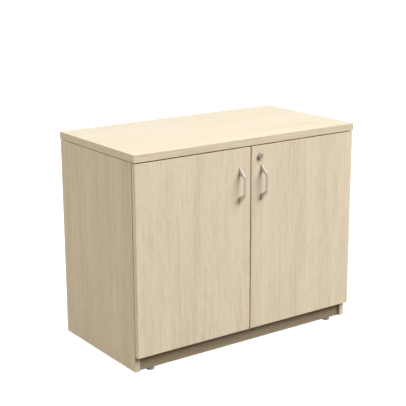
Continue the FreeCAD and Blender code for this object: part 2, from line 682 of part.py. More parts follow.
outline.setExpression(f"Constraints[{number}]", SIDE_HEIGHT)
pad = side.newObject("PartDesign::Pad", "side_pad")
pad.Profile = outline
pad.setExpression("Length", "dim.side_thick")
doc.recompute()
full_volume = pad.Shape.Volume
holes = side.newObject("Sketcher::SketchObject", "pin_holes")
holes.AttachmentSupport = [(origin_plane(side, "YZ_Plane"), "")]
holes.MapMode = "FlatFace"
holes.setExpression("AttachmentOffset.Base.z", "dim.side_thick")
for index, spot in enumerate(("dim.pin_front_inset - dim.edge_band", f"{BACK_FACE} - {FRONT} - dim.pin_rear_inset")):
    centre = FreeCAD.Vector(size("pin_front_inset") * (1 + index), size("pin_first_height"), 0)
    holes.addGeometry(Part.Circle(centre, FreeCAD.Vector(0, 0, 1), size("shelf_pin_radius")))
    number = holes.addConstraint(Sketcher.Constraint("Radius", index, size("shelf_pin_radius")))
    holes.setExpression(f"Constraints[{number}]", "dim.shelf_pin_radius")
    number = holes.addConstraint(Sketcher.Constraint("DistanceX", -1, 1, index, 3, centre.x))
    holes.setExpression(f"Constraints[{number}]", spot)
    number = holes.addConstraint(Sketcher.Constraint("DistanceY", -1, 1, index, 3, centre.y))
    holes.setExpression(f"Constraints[{number}]", "dim.pin_first_height - dim.foot_rise")
drill = side.newObject("PartDesign::Pocket", "pin_drill")
drill.Profile = holes
drill.setExpression("Length", "dim.pin_hole_depth")
doc.recompute()
row_drill = side.newObject("PartDesign::LinearPattern", "pin_rows")
row_drill.Originals = [drill]
row_drill.Direction = (holes, ["V_Axis"])
row_drill.Occurrences = pin_rows
row_drill.setExpression("Length", f"{pin_rows - 1} * dim.pin_pitch")
side.Tip = row_drill
place(side, f"-{HALF}", f"{FRONT} + dim.edge_band", "dim.foot_rise")
doc.recompute()
if not side.Shape.Volume < drill.Shape.Volume < full_volume:
    raise RuntimeError("the shelf pin holes do not cut the side panel")
left_side = node(cut("left_side_panel", side, side_cuts + [side_groove]))
node(mirror(left_side, "right_side_panel"))

# Deck, back, kick and front rail between the side panels
deck_board = box(
    "deck_board", f"-{INNER}", f"{FRONT} + dim.edge_band", DECK_UNDER,
    f"2 * {INNER}", f"{BACK_FACE} - {FRONT} - dim.edge_band", "dim.deck_thick")
node(cut("bottom_panel", deck_board, deck_cuts))
back_board = box(
    "back_board", f"-{INNER}", BACK_FACE, "dim.foot_rise", f"2 * {INNER}", "dim.back_thick", SIDE_HEIGHT)
node(cut("back_panel", back_board, back_cuts))
kick_board = box(
    "kick_board", f"-{INNER}", KICK_FACE, "dim.foot_rise", f"2 * {INNER}", "dim.kick_thick", "dim.kick_height")
node(cut("toe_kick", kick_board, kick_cuts))

# Lock strike: an angle under the front rail that the lock's cam turns up behind
STRIKE_FACE = (f"({DOOR_BACK} + dim.lock_barrel_behind + dim.lock_cam_gap"
               " - dim.strike_gap - dim.strike_thick)")
STRIKE_LEFT = "(dim.lock_offset - dim.strike_width / 2)"
strike_screws = []
for part, sign in (("left", "-"), ("right", "+")):
    strike_screws.append(fuse(f"strike_screw_{part}", [
        rod(f"strike_screw_shank_{part}", "Z", f"dim.lock_offset {sign} dim.strike_screw_spread",
            f"{STRIKE_FACE} + dim.strike_depth / 2", f"{RAIL_UNDER} - dim.strike_thick",
            "dim.strike_screw_radius", "dim.strike_screw_length + dim.strike_thick"),
        rod(f"strike_screw_head_{part}", "Z", f"dim.lock_offset {sign} dim.strike_screw_spread",
            f"{STRIKE_FACE} + dim.strike_depth / 2", f"{RAIL_UNDER} - dim.strike_thick - dim.strike_screw_head",
            "dim.strike_screw_head_radius", "dim.strike_screw_head")]))
angle = fuse("strike_angle", [
    box("strike_foot", STRIKE_LEFT, STRIKE_FACE, f"{RAIL_UNDER} - dim.strike_thick",
        "dim.strike_width", "dim.strike_depth", "dim.strike_thick"),
    box("strike_leg", STRIKE_LEFT, STRIKE_FACE, f"{RAIL_UNDER} - dim.strike_drop",
        "dim.strike_width", "dim.strike_thick", "dim.strike_drop")])
node(cut("lock_strike", angle, strike_screws))
node(group("strike_screws", strike_screws))

# Front rail, with the hole that takes the left door's bolt
BOLT_X = "(-dim.middle_reveal / 2 - dim.bolt_offset)"
BOLT_Y = f"({DOOR_BACK} + dim.bolt_rod_out)"
bolt_hole = rod(
    "bolt_hole", "Z", BOLT_X, BOLT_Y, f"{RAIL_UNDER} - dim.overrun",
    "dim.bolt_rod_radius + dim.bolt_hole_slack", "dim.bolt_throw + dim.overrun")
rail_board = box(
    "rail_board", f"-{INNER}", f"{FRONT} + dim.edge_band", RAIL_UNDER,
    f"2 * {INNER}", "dim.rail_depth - dim.edge_band", "dim.rail_thick")
node(cut("front_rail", rail_board, rail_pegs + top_screws + strike_screws + [bolt_hole]))

# Edge bands on the front edges of the carcass boards
side_strip = cut("side_strip", box(
    "side_strip_whole", f"-{HALF}", FRONT, "dim.foot_rise", "dim.side_thick", "dim.edge_band", SIDE_HEIGHT), [side_groove])
deck_strip = box("deck_strip", f"-{INNER}", FRONT, DECK_UNDER, f"2 * {INNER}", "dim.edge_band", "dim.deck_thick")
rail_strip = box("rail_strip", f"-{INNER}", FRONT, RAIL_UNDER, f"2 * {INNER}", "dim.edge_band", "dim.rail_thick")
node(group("carcass_edge_bands", [side_strip, mirror(side_strip), deck_strip, rail_strip]))

# Adjustable shelf on four pins
PIN_Z = f"(dim.pin_first_height + {pin_rows_below_shelf} * dim.pin_pitch)"
SHELF_UNDER = f"({PIN_Z} + dim.shelf_pin_radius)"
SHELF_FRONT = f"({FRONT} + dim.shelf_setback)"
SHELF_HALF = f"({INNER} - dim.shelf_side_gap)"
shelf_pins = []
for part, line in (("front", f"({FRONT} + dim.pin_front_inset)"),
                   ("rear", f"({BACK_FACE} + dim.edge_band - dim.pin_rear_inset)")):
    shelf_pin = fuse(f"shelf_pin_{part}", [
        rod(f"shelf_peg_{part}", "X", f"-{INNER} - dim.shelf_pin_depth", line, PIN_Z,
            "dim.shelf_pin_radius", "dim.shelf_pin_depth"),
        box(f"shelf_tab_{part}", f"-{INNER}", f"{line} - dim.shelf_tab_width / 2",
            f"{SHELF_UNDER} - dim.shelf_tab_thick",
            "dim.shelf_tab_length", "dim.shelf_tab_width", "dim.shelf_tab_thick")])
    shelf_pins.extend((shelf_pin, mirror(shelf_pin)))
node(group("shelf_pins", shelf_pins))
node(box("shelf", f"-{SHELF_HALF}", f"{SHELF_FRONT} + dim.edge_band", SHELF_UNDER,
         f"2 * {SHELF_HALF}", f"{BACK_FACE} - dim.shelf_rear_gap - {SHELF_FRONT} - dim.edge_band", "dim.shelf_thick"))
node(box("shelf_edge_band", f"-{SHELF_HALF}", SHELF_FRONT, SHELF_UNDER,
         f"2 * {SHELF_HALF}", "dim.edge_band", "dim.shelf_thick"))

# Pulls: a cast bow whose two legs widen to their feet, held by screws from behind the door
PULL_X = "-dim.pull_offset"
PULL_Z = f"({DOOR_TOP} - dim.pull_drop)"
half_pull = size("pull_length") / 2
half_grip = size("pull_grip_length") / 2
half_fingers = size("pull_finger_length") / 2
foot_inner = half_pull - size("pull_foot_length")
finger_reach = size("pull_reach") - size("pull_bar_thick")
upper_corners = [
    (finger_reach, half_fingers, size("pull_finger_bend_radius")), (0, foot_inner, 0), (0, half_pull, 0),
    (size("pull_foot_edge"), half_pull, size("pull_foot_bend_radius")),
    (size("pull_reach"), half_grip, size("pull_bend_radius"))]
lower_corners = [(out, -up, bend) for out, up, bend in reversed(upper_corners)]
outline_corners = [(FreeCAD.Vector(0, -out, up), bend) for out, up, bend in upper_corners + lower_corners]
legs = []
for index, (corner, bend) in enumerate(outline_corners):
    before = (outline_corners[index - 1][0] - corner).normalize()
    after = (outline_corners[(index + 1) % len(outline_corners)][0] - corner).normalize()
    trim = bend / math.tan(before.getAngle(after) / 2)
    inward = (before + after).normalize()
    middle = corner + inward * ((bend ** 2 + trim ** 2) ** 0.5 - bend)
    legs.append((corner + before * trim, middle, corner + after * trim, bend))
bow_edges = []
for index, (first, middle, last, bend) in enumerate(legs):
    if bend:
        bow_edges.append(Part.Arc(first, middle, last).toShape())
    bow_edges.append(Part.LineSegment(last, legs[(index + 1) % len(legs)][0]).toShape())
bow_outline = doc.addObject("Part::Feature", "pull_outline")
bow_outline.Shape = Part.Face(Part.Wire(bow_edges))
bow = doc.addObject("Part::Extrusion", "pull_bow")
bow.Base = bow_outline
bow.DirMode = "Custom"
bow.Dir = FreeCAD.Vector(1, 0, 0)
bow.Solid = True
bow.setExpression("LengthFwd", "dim.pull_bar_width / 2")
bow.setExpression("LengthRev", "dim.pull_bar_width / 2")
doc.recompute()
bow_rims = []
for number, edge in enumerate(bow.Shape.Edges, start=1):
    start, stop = (vertex.Point for vertex in edge.Vertexes)
    on_door = abs(start.y) < 1e-6 and abs(stop.y) < 1e-6
    if abs(start.x - stop.x) < 1e-6 and not on_door:
        bow_rims.append((number, size("pull_round"), size("pull_round")))
blank = doc.addObject("Part::Fillet", "pull_blank")
blank.Base = bow
blank.Edges = bow_rims
doc.recompute()
place(blank, PULL_X, DOOR_FRONT, PULL_Z)
pull_screws = []
for part, sign in (("top", "+"), ("bottom", "-")):
    spot = f"{PULL_Z} {sign} dim.pull_centres / 2"
    pull_screws.append(fuse(f"pull_screw_{part}", [
        rod(f"pull_screw_shank_{part}", "Y", PULL_X, f"{DOOR_FRONT} - dim.pull_screw_grip", spot,
            "dim.pull_screw_radius", "dim.pull_screw_grip + dim.door_thick"),
        rod(f"pull_screw_head_{part}", "Y", PULL_X, DOOR_BACK, spot,
            "dim.pull_screw_head_radius", "dim.pull_screw_head")]))
left_pull = node(cut("left_pull", blank, pull_screws))
node(mirror(left_pull, "right_pull"))
left_pull_screws = node(group("left_pull_screws", pull_screws))
node(mirror(left_pull_screws, "right_pull_screws"))

# Bolt on the left door: a rod in two lugs that slides up into the front rail
BOLT_PLATE_TOP = f"({RAIL_UNDER} - dim.bolt_plate_drop)"
BOLT_TOP = f"({RAIL_UNDER} - dim.bolt_top_gap)"
bolt_parts = [box(
    "bolt_plate", f"{BOLT_X} - dim.bolt_plate_width / 2", DOOR_BACK, f"{BOLT_PLATE_TOP} - dim.bolt_plate_length",
    "dim.bolt_plate_width", "dim.bolt_plate_thick", "dim.bolt_plate_length")]
for part, low in (("upper", f"{BOLT_PLATE_TOP} - dim.bolt_lug_thick"),
                  ("lower", f"{BOLT_PLATE_TOP} - dim.bolt_plate_length + dim.bolt_lug_thick")):
    bolt_parts.append(box(
        f"bolt_lug_{part}", f"{BOLT_X} - dim.bolt_lug_width / 2", DOOR_BACK, low,
        "dim.bolt_lug_width", "dim.bolt_lug_reach", "dim.bolt_lug_thick"))
bolt_bore = rod(
    "bolt_bore", "Z", BOLT_X, BOLT_Y, f"{BOLT_PLATE_TOP} - dim.bolt_plate_length - dim.overrun",
    "dim.bolt_rod_radius + dim.running_clearance", "dim.bolt_plate_length + 2 * dim.overrun")
bolt_screws = []
for part, share in zip(("upper", "lower"), bolt_screw_shares):
    spot = f"{BOLT_PLATE_TOP} - {share} * dim.bolt_plate_length"
    bolt_screws.append(fuse(f"bolt_screw_{part}", [
        rod(f"bolt_screw_shank_{part}", "Y", f"{BOLT_X} - dim.bolt_plate_width / 4",
            f"{DOOR_BACK} - dim.bolt_screw_length", spot,
            "dim.bolt_screw_radius", "dim.bolt_screw_length + dim.bolt_plate_thick"),
        rod(f"bolt_screw_head_{part}", "Y", f"{BOLT_X} - dim.bolt_plate_width / 4",
            f"{DOOR_BACK} + dim.bolt_plate_thick", spot, "dim.bolt_screw_head_radius", "dim.bolt_screw_head")]))
node(cut("bolt_bracket", fuse("bolt_bracket_whole", bolt_parts), [bolt_bore] + bolt_screws))
node(group("bolt_screws", bolt_screws))
node(fuse("bolt_rod", [
    rod("bolt_rod_bar", "Z", BOLT_X, BOLT_Y, f"{BOLT_TOP} - dim.bolt_rod_length",
        "dim.bolt_rod_radius", "dim.bolt_rod_length"),
    rod("bolt_knob", "Y", BOLT_X, BOLT_Y, f"{BOLT_TOP} - dim.bolt_knob_drop",
        "dim.bolt_knob_radius", "dim.bolt_knob_length")]))

# Lock in the right door: collar and barrel, turning plug, ring nut, cam and cam screw
LOCK_FACE = f"({DOOR_FRONT} - dim.lock_reach)"
LOCK_Z = f"({DOOR_TOP} - dim.lock_drop)"
BARREL_END = "(dim.lock_reach + dim.door_thick + dim.lock_barrel_behind)"
PLUG_HOLE = "(dim.lock_plug_radius + dim.running_clearance)"
CAM_FACE = f"({DOOR_BACK} + dim.lock_barrel_behind + dim.lock_cam_gap)"
barrel = node(turned("lock_barrel", "Y", "dim.lock_offset", LOCK_FACE, LOCK_Z, [
    (PLUG_HOLE, "0"),
    ("dim.lock_collar_radius - dim.lock_collar_round", "0"),
    ("dim.lock_collar_radius", "dim.lock_collar_round"),
    ("dim.lock_collar_radius", "dim.lock_reach"),
    ("dim.lock_barrel_radius", "dim.lock_reach"),
    ("dim.lock_barrel_radius", BARREL_END),
    (PLUG_HOLE, BARREL_END)]))
cam_screw = fuse("cam_screw", [
    rod("cam_screw_shank", "Y", "dim.lock_offset", f"{CAM_FACE} - dim.cam_screw_grip", LOCK_Z,
        "dim.cam_screw_radius", "dim.cam_screw_grip + dim.lock_cam_thick"),
    rod("cam_screw_head", "Y", "dim.lock_offset", f"{CAM_FACE} + dim.lock_cam_thick", LOCK_Z,
        "dim.cam_screw_head_radius", "dim.cam_screw_head")])
core = rod("plug_core", "Y", "dim.lock_offset", LOCK_FACE, LOCK_Z,
           "dim.lock_plug_radius", f"{BARREL_END} + dim.lock_cam_gap")
key_slot = box(
    "key_slot", "dim.lock_offset - dim.key_slot_width / 2", f"{LOCK_FACE} - dim.overrun",
    f"{LOCK_Z} - dim.key_slot_length / 2",
    "dim.key_slot_width", "dim.key_slot_depth + dim.overrun", "dim.key_slot_length")
node(cut("lock_plug", core, [key_slot, cam_screw]))
cam_blank = fuse("cam_blank", [
    rod("cam_hub", "Y", "dim.lock_offset", CAM_FACE, LOCK_Z, "dim.lock_cam_width / 2", "dim.lock_cam_thick"),
    box("cam_tongue", "dim.lock_offset", CAM_FACE, f"{LOCK_Z} - dim.lock_cam_width / 2",
        "dim.lock_cam_length", "dim.lock_cam_thick", "dim.lock_cam_width")])
node(cut("lock_cam", cam_blank, [cam_screw]))
node(cam_screw)
nut_blank = hexagon(
    "nut_blank", "Y", "dim.lock_offset", DOOR_BACK, LOCK_Z, "dim.lock_nut_radius", "dim.lock_nut_thick")
lock_bore = rod(
    "lock_bore", "Y", "dim.lock_offset", f"{DOOR_FRONT} - dim.overrun", LOCK_Z,
    "dim.lock_barrel_radius", "dim.door_thick + dim.lock_nut_thick + 2 * dim.overrun")
node(cut("lock_nut", nut_blank, [lock_bore]))

# Doors: a board with a rounded edge band, bored for the hinge cups, pull screws and lock
door_block = box("door_block", f"-{HALF}", DOOR_FRONT, DOOR_BOTTOM, DOOR_WIDTH, "dim.door_thick", DOOR_HEIGHT)
door_soft = rounded("door_soft", door_block, FreeCAD.Vector(0, 1, 0), "door_round")
door_core = box(
    "door_core", f"-{HALF} + dim.door_band", DOOR_FRONT, f"{DOOR_BOTTOM} + dim.door_band",
    f"{DOOR_WIDTH} - 2 * dim.door_band", "dim.door_thick", f"{DOOR_HEIGHT} - 2 * dim.door_band")
left_band = node(cut("left_door_edge_band", door_soft, [door_core]))
node(mirror(left_band, "right_door_edge_band"))
shared_core = cut("door_core_bored", door_core, hinge["bores"] + pull_screws)
node(cut("left_door_panel", shared_core, bolt_screws))
node(cut("right_door_panel", mirror(shared_core), [lock_bore]))

# Soft bumpers between each door and the carcass
bumpers = []
for part, height in (("top", f"{RAIL_UNDER} + dim.rail_thick / 2 - dim.top_reveal / 2"),
                     ("bottom", f"{DECK_UNDER} + dim.deck_thick / 2")):
    bumpers.append(rod(
        f"bumper_{part}", "Y", "-dim.middle_reveal / 2 - dim.bumper_inset", DOOR_BACK, height,
        "dim.bumper_radius", "dim.bumper_gap"))
left_bumpers = node(group("left_door_bumpers", bumpers))
node(mirror(left_bumpers, "right_door_bumpers"))

doc.recompute()
for obj in doc.Objects:
    if "Invalid" in obj.State or "Error" in obj.State:
        raise RuntimeError(f"{obj.Name} did not rebuild: {obj.State}")
for obj in nodes:
    shape = obj.Shape
    if shape.isNull() or not shape.isValid() or not shape.Solids:
        raise RuntimeError(f"{obj.Name} has no valid solid")

os.makedirs("parts", exist_ok=True)
for obj in nodes:
    obj.Label = obj.Name
    obj.Shape.exportStep(os.path.join("parts", obj.Label + ".step"))
    print(obj.Label, len(obj.Shape.Solids), round(obj.Shape.Volume, 1))
print(len(nodes), "sub-parts")
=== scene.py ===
import bmesh
import bpy
import math
from mathutils import Matrix, Vector
from mathutils.geometry import tessellate_polygon


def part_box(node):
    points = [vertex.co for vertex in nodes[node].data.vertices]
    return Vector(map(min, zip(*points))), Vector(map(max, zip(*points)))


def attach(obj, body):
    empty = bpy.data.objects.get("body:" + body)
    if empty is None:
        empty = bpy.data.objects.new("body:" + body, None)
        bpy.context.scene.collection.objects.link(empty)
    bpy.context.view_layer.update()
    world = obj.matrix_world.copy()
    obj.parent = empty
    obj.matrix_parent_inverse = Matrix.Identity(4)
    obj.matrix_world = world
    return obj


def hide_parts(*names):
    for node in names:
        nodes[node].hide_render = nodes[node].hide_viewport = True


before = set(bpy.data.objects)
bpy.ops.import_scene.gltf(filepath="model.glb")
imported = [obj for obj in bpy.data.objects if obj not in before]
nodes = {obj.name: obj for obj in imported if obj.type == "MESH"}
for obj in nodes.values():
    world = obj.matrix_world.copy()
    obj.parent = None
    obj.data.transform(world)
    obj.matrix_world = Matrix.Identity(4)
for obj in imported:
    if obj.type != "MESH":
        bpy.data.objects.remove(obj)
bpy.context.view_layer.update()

# Side panels: 18 mm particleboard pressed with a maple-grain laminate on both faces, grain upright.
# Their lower edges and drilled pin holes show the raw board; the rear edge has a matching band.
BOARD_MAPLE = ((0.770, 0.663, 0.498, 1.0), (0.714, 0.604, 0.442, 1.0), (0.612, 0.503, 0.353, 1.0))
side_low, side_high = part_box("right_side_panel")


def put(tree, kind, values=None, **settings):
    # One node with its settings, each input linked or given its value
    node = tree.nodes.new(kind)
    for key, value in settings.items():
        setattr(node, key, value)
    for key, value in (values or {}).items():
        if isinstance(value, bpy.types.NodeSocket):
            tree.links.new(value, node.inputs[key])
        else:
            node.inputs[key].default_value = value
    return node


def maths(tree, operation, *terms):
    return put(tree, "ShaderNodeMath", dict(enumerate(terms)), operation=operation).outputs[0]


def vectors(tree, operation, first, second):
    return put(tree, "ShaderNodeVectorMath", {0: first, 1: second}, operation=operation).outputs[0]


def between(tree, value, low, high):
    # 0 up to the low value, 1 from the high value on
    values = {"Value": value, "From Min": low, "From Max": high}
    return put(tree, "ShaderNodeMapRange", values).outputs[0]


def ramp(tree, factor, stops):
    node = put(tree, "ShaderNodeValToRGB", {"Fac": factor})
    points = node.color_ramp.elements
    while len(points) < len(stops):
        points.new(0.5)
    for point, (place, colour) in zip(points, stops):
        point.position = place
        point.color = colour
    return node.outputs["Color"]


def mixed(tree, factor, first, second):
    # A Mix node has its colours at inputs 6 and 7 and at output 2
    return put(tree, "ShaderNodeMix", {0: factor, 6: first, 7: second}, data_type="RGBA").outputs[2]


def noise(tree, place, stretch, detail, rough=0.55):
    # The stretch is about how many marks there are to a metre in x, y and z
    spot = vectors(tree, "MULTIPLY", place, stretch)
    values = {"Vector": spot, "Scale": 1.0, "Detail": detail, "Roughness": rough}
    return put(tree, "ShaderNodeTexNoise", values).outputs["Fac"]


def effect(name, takes, gives):
    group = bpy.data.node_groups.new(name, "ShaderNodeTree")
    for label, kind in takes:
        group.interface.new_socket(name=label, in_out="INPUT", socket_type=kind)
    for label, kind in gives:
        group.interface.new_socket(name=label, in_out="OUTPUT", socket_type=kind)
    taken = group.nodes.new("NodeGroupInput").outputs
    given = group.nodes.new("NodeGroupOutput").inputs
    return group, taken, given


# Printed maple figure along z: slow bands, narrow streaks, short dashes, fine fibre and dark flecks
BOARD_STEP = (3.17, 1.31, 7.77)
SWAY_STRETCH = (3.0, 3.0, 1.3)
SWAY_REACH = 0.025
SLOW_STRETCH = (11.0, 11.0, 1.0)
STREAK_STRETCH = (72.0, 72.0, 2.6)
DASH_STRETCH = (180.0, 180.0, 22.0)
FIBRE_STRETCH = (620.0, 620.0, 14.0)
FLECK_STRETCH = (110.0, 110.0, 16.0)
SLOW_SHARE = 0.32
STREAK_SHARE = 0.32
DASH_SHARE = 0.28
FIBRE_SHARE = 0.08
MIDDLE_TONE = 0.5
PALE_TO_WARM = (0.36, 0.50)
WARM_TO_DARK = (0.50, 0.68)
FLECK_LIMITS = (0.62, 0.74)
FLECK_TINT = 0.5
FLECK_DENT = 0.6
maple_grain, takes, gives = effect(
    "maple_grain",
    (("Place", "NodeSocketVector"), ("Board", "NodeSocketFloat"), ("Pale", "NodeSocketColor"),
     ("Warm", "NodeSocketColor"), ("Dark", "NodeSocketColor"), ("Contrast", "NodeSocketFloat")),
    (("Color", "NodeSocketColor"), ("Streak", "NodeSocketFloat"), ("Height", "NodeSocketFloat")))
board_shift = put(maple_grain, "ShaderNodeVectorMath", {0: BOARD_STEP, "Scale": takes["Board"]},
                  operation="SCALE").outputs[0]
spot = vectors(maple_grain, "ADD", takes["Place"], board_shift)
sway = noise(maple_grain, spot, SWAY_STRETCH, detail=2.0)
sway = maths(maple_grain, "MULTIPLY", maths(maple_grain, "SUBTRACT", sway, MIDDLE_TONE), SWAY_REACH)
sideways = put(maple_grain, "ShaderNodeCombineXYZ", {"X": sway, "Y": sway}).outputs[0]
spot = vectors(maple_grain, "ADD", spot, sideways)
bands = noise(maple_grain, spot, SLOW_STRETCH, detail=2.0)
streaks = noise(maple_grain, spot, STREAK_STRETCH, detail=3.0, rough=0.6)
dashes = noise(maple_grain, spot, DASH_STRETCH, detail=2.0)
fibre = noise(maple_grain, spot, FIBRE_STRETCH, detail=2.0)
flecks = between(maple_grain, noise(maple_grain, spot, FLECK_STRETCH, detail=1.0), *FLECK_LIMITS)
tone = maths(maple_grain, "MULTIPLY", bands, SLOW_SHARE)
for layer, share in ((streaks, STREAK_SHARE), (dashes, DASH_SHARE), (fibre, FIBRE_SHARE)):
    tone = maths(maple_grain, "MULTIPLY_ADD", layer, share, tone)
tone = maths(maple_grain, "SUBTRACT", tone, MIDDLE_TONE)
tone = maths(maple_grain, "MULTIPLY_ADD", tone, takes["Contrast"], MIDDLE_TONE)
figure = mixed(maple_grain, between(maple_grain, tone, *PALE_TO_WARM), takes["Pale"], takes["Warm"])
figure = mixed(maple_grain, between(maple_grain, tone, *WARM_TO_DARK), figure, takes["Dark"])
figure = mixed(maple_grain, maths(maple_grain, "MULTIPLY", flecks, FLECK_TINT), figure, takes["Dark"])
dents = maths(maple_grain, "MULTIPLY", flecks, FLECK_DENT)
maple_grain.links.new(figure, gives["Color"])
maple_grain.links.new(streaks, gives["Streak"])
maple_grain.links.new(maths(maple_grain, "SUBTRACT", fibre, dents), gives["Height"])

# Raw particleboard: pressed flakes of mixed browns
FLAKES_PER_METRE = 420.0
FLAKE_BROWNS = ((0.0, (0.20, 0.12, 0.06, 1)), (0.5, (0.38, 0.25, 0.13, 1)), (1.0, (0.52, 0.37, 0.21, 1)))
chipboard, takes, gives = effect(
    "chipboard",
    (("Place", "NodeSocketVector"),),
    (("Color", "NodeSocketColor"), ("Height", "NodeSocketFloat")))
flakes = put(chipboard, "ShaderNodeTexVoronoi",
             {"Vector": takes["Place"], "Scale": FLAKES_PER_METRE, "Randomness": 1.0})
shade = put(chipboard, "ShaderNodeSeparateColor", {"Color": flakes.outputs["Color"]}).outputs[0]
chipboard.links.new(ramp(chipboard, shade, FLAKE_BROWNS), gives["Color"])
chipboard.links.new(shade, gives["Height"])


def spot_on(tree):
    return put(tree, "ShaderNodeTexCoord").outputs["Object"]


def split(tree, vector):
    return put(tree, "ShaderNodeSeparateXYZ", {"Vector": vector}).outputs


def place_along(tree, along):
    # The spot on the board, turned so that the grain runs along z
    place = spot_on(tree)
    if along == "z":
        return place
    part = split(tree, place)
    order = {"x": (2, 1, 0), "y": (0, 2, 1)}[along]
    turned_parts = {axis: part[index] for axis, index in zip("XYZ", order)}
    return put(tree, "ShaderNodeCombineXYZ", turned_parts).outputs[0]


FACING_LIMIT = 0.6


def facing(tree, axis):
    # 1 where the surface faces along the given axis, 0 elsewhere
    part = split(tree, put(tree, "ShaderNodeTexCoord").outputs["Normal"])
    lean = maths(tree, "ABSOLUTE", part["xyz".index(axis)])
    return maths(tree, "GREATER_THAN", lean, FACING_LIMIT)


def finish(name):
    made = bpy.data.materials.new(name)
    made.use_nodes = True
    return made, made.node_tree, made.node_tree.nodes["Principled BSDF"]


def emboss(tree, surface, height, strength, depth):
    values = {"Height": height, "Strength": strength, "Distance": depth}
    bump = put(tree, "ShaderNodeBump", values)
    tree.links.new(bump.outputs["Normal"], surface.inputs["Normal"])


def dress(made, *names):
    for name in names:
        slots = nodes[name].data.materials
        if len(slots):
            for index in range(len(slots)):
                slots[index] = made
        else:
            slots.append(made)


def printed(tree, along, board, tones, contrast):
    # The print in its pale, warm and dark tones; each board number takes another stretch of it
    pale, warm, dark = tones
    values = {"Place": place_along(tree, along), "Board": board, "Pale": pale, "Warm": warm, "Dark": dark,
              "Contrast": contrast}
    return put(tree, "ShaderNodeGroup", values, node_tree=maple_grain).outputs


BOARD_CONTRAST = 1.18
BOARD_ROUGH = 0.36
BOARD_ROUGH_SPREAD = 0.10
RAW_ROUGHER = 0.35
BOARD_EMBOSS = 0.25
PRINT_DEPTH = 0.0002
BOARD_SHINE = 0.20


def maple_board(name, board, along, faces, tones=BOARD_MAPLE, contrast=BOARD_CONTRAST, banded_behind=None):
    # Print on the board's faces and, behind the given line, on its edge; raw board elsewhere
    made, tree, surface = finish(name)
    grain = printed(tree, along, board, tones, contrast)
    place = spot_on(tree)
    raw = put(tree, "ShaderNodeGroup", {"Place": place}, node_tree=chipboard).outputs
    bare = maths(tree, "SUBTRACT", 1.0, facing(tree, faces))
    if banded_behind is not None:
        before_band = maths(tree, "LESS_THAN", split(tree, place)["Y"], banded_behind)
        bare = maths(tree, "MULTIPLY", bare, before_band)
    tree.links.new(mixed(tree, bare, grain["Color"], raw["Color"]), surface.inputs["Base Color"])
    rough = maths(tree, "MULTIPLY_ADD", grain["Streak"], BOARD_ROUGH_SPREAD, BOARD_ROUGH)
    tree.links.new(maths(tree, "MULTIPLY_ADD", bare, RAW_ROUGHER, rough), surface.inputs["Roughness"])
    emboss(tree, surface, mixed(tree, bare, grain["Height"], raw["Height"]), BOARD_EMBOSS, PRINT_DEPTH)
    surface.inputs["Specular IOR Level"].default_value = BOARD_SHINE
    return made


REAR_BAND = 0.00065
for name, board in (("left", 1.0), ("right", 2.3)):
    side_maple = maple_board(
        f"maple_{name}_side", board, along="z", faces="x", banded_behind=side_high[1] - REAR_BAND)
    dress(side_maple, f"{name}_side_panel")

# Bottom panel, front rail and shelf lie flat between the sides, with the grain across the cabinet.
# Back and toe kick stand between the sides; all are laminated board, the kick printed darker as painted
# shade for the shadow under the doors.
KICK_SHADED_MAPLE = ((0.395, 0.314, 0.206, 1.0), (0.366, 0.286, 0.182, 1.0), (0.312, 0.236, 0.143, 1.0))
KICK_CONTRAST = 2.0
dress(maple_board("maple_deck", 3.1, along="x", faces="z"), "bottom_panel")
dress(maple_board("maple_rail", 3.8, along="x", faces="z"), "front_rail")
dress(maple_board("maple_shelf", 4.4, along="x", faces="z"), "shelf")
dress(maple_board("maple_back", 5.2, along="z", faces="y"), "back_panel")
# The toe kick takes the darker print: painted shade for the shadow under the doors.
kick_shaded_maple = maple_board(
    "maple_kick_painted_shade", 6.1, along="x", faces="y", tones=KICK_SHADED_MAPLE, contrast=KICK_CONTRAST)
dress(kick_shaded_maple, "toe_kick")
deck_low, deck_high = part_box("bottom_panel")
rail_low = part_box("front_rail")[0]

# Edge bands on the carcass and shelf: 1 mm printed plastic strip glued to each front edge.
# The strip carries the same maple print, a little yellower and smoother than the boards.
BAND_MAPLE = ((0.750, 0.641, 0.476, 1.0), (0.694, 0.583, 0.420, 1.0), (0.597, 0.488, 0.336, 1.0))
BAND_CONTRAST = 1.2
BAND_ROUGH = 0.33
BAND_ROUGH_SPREAD = 0.08
BAND_EMBOSS = 0.15
BAND_SHINE = 0.30


def maple_band(name, board, run, cross, choose):
    # The print follows the strip: one run where the choice is 0 and the other where it is 1
    made, tree, surface = finish(name)
    first, second = [printed(tree, along, board, BAND_MAPLE, BAND_CONTRAST) for along in (run, cross)]
    choice = choose(tree)
    tree.links.new(mixed(tree, choice, first["Color"], second["Color"]), surface.inputs["Base Color"])
    streak = mixed(tree, choice, first["Streak"], second["Streak"])
    rough = maths(tree, "MULTIPLY_ADD", streak, BAND_ROUGH_SPREAD, BAND_ROUGH)
    tree.links.new(rough, surface.inputs["Roughness"])
    emboss(tree, surface, mixed(tree, choice, first["Height"], second["Height"]), BAND_EMBOSS, PRINT_DEPTH)
    surface.inputs["Specular IOR Level"].default_value = BAND_SHINE
    return made


def on_side_strips(tree):
    # 1 on the strips of the two sides, which lie outside the sides' inner faces
    across = split(tree, spot_on(tree))["X"]
    return maths(tree, "GREATER_THAN", maths(tree, "ABSOLUTE", across), side_low[0])


def on_ends(tree):
    return facing(tree, "x")


def on_top_and_bottom(tree):
    return facing(tree, "z")


carcass_band = maple_band("maple_carcass_band", 7.0, run="x", cross="z", choose=on_side_strips)
dress(carcass_band, "carcass_edge_bands")
dress(maple_band("maple_shelf_band", 7.6, run="x", cross="x", choose=on_ends), "shelf_edge_band")

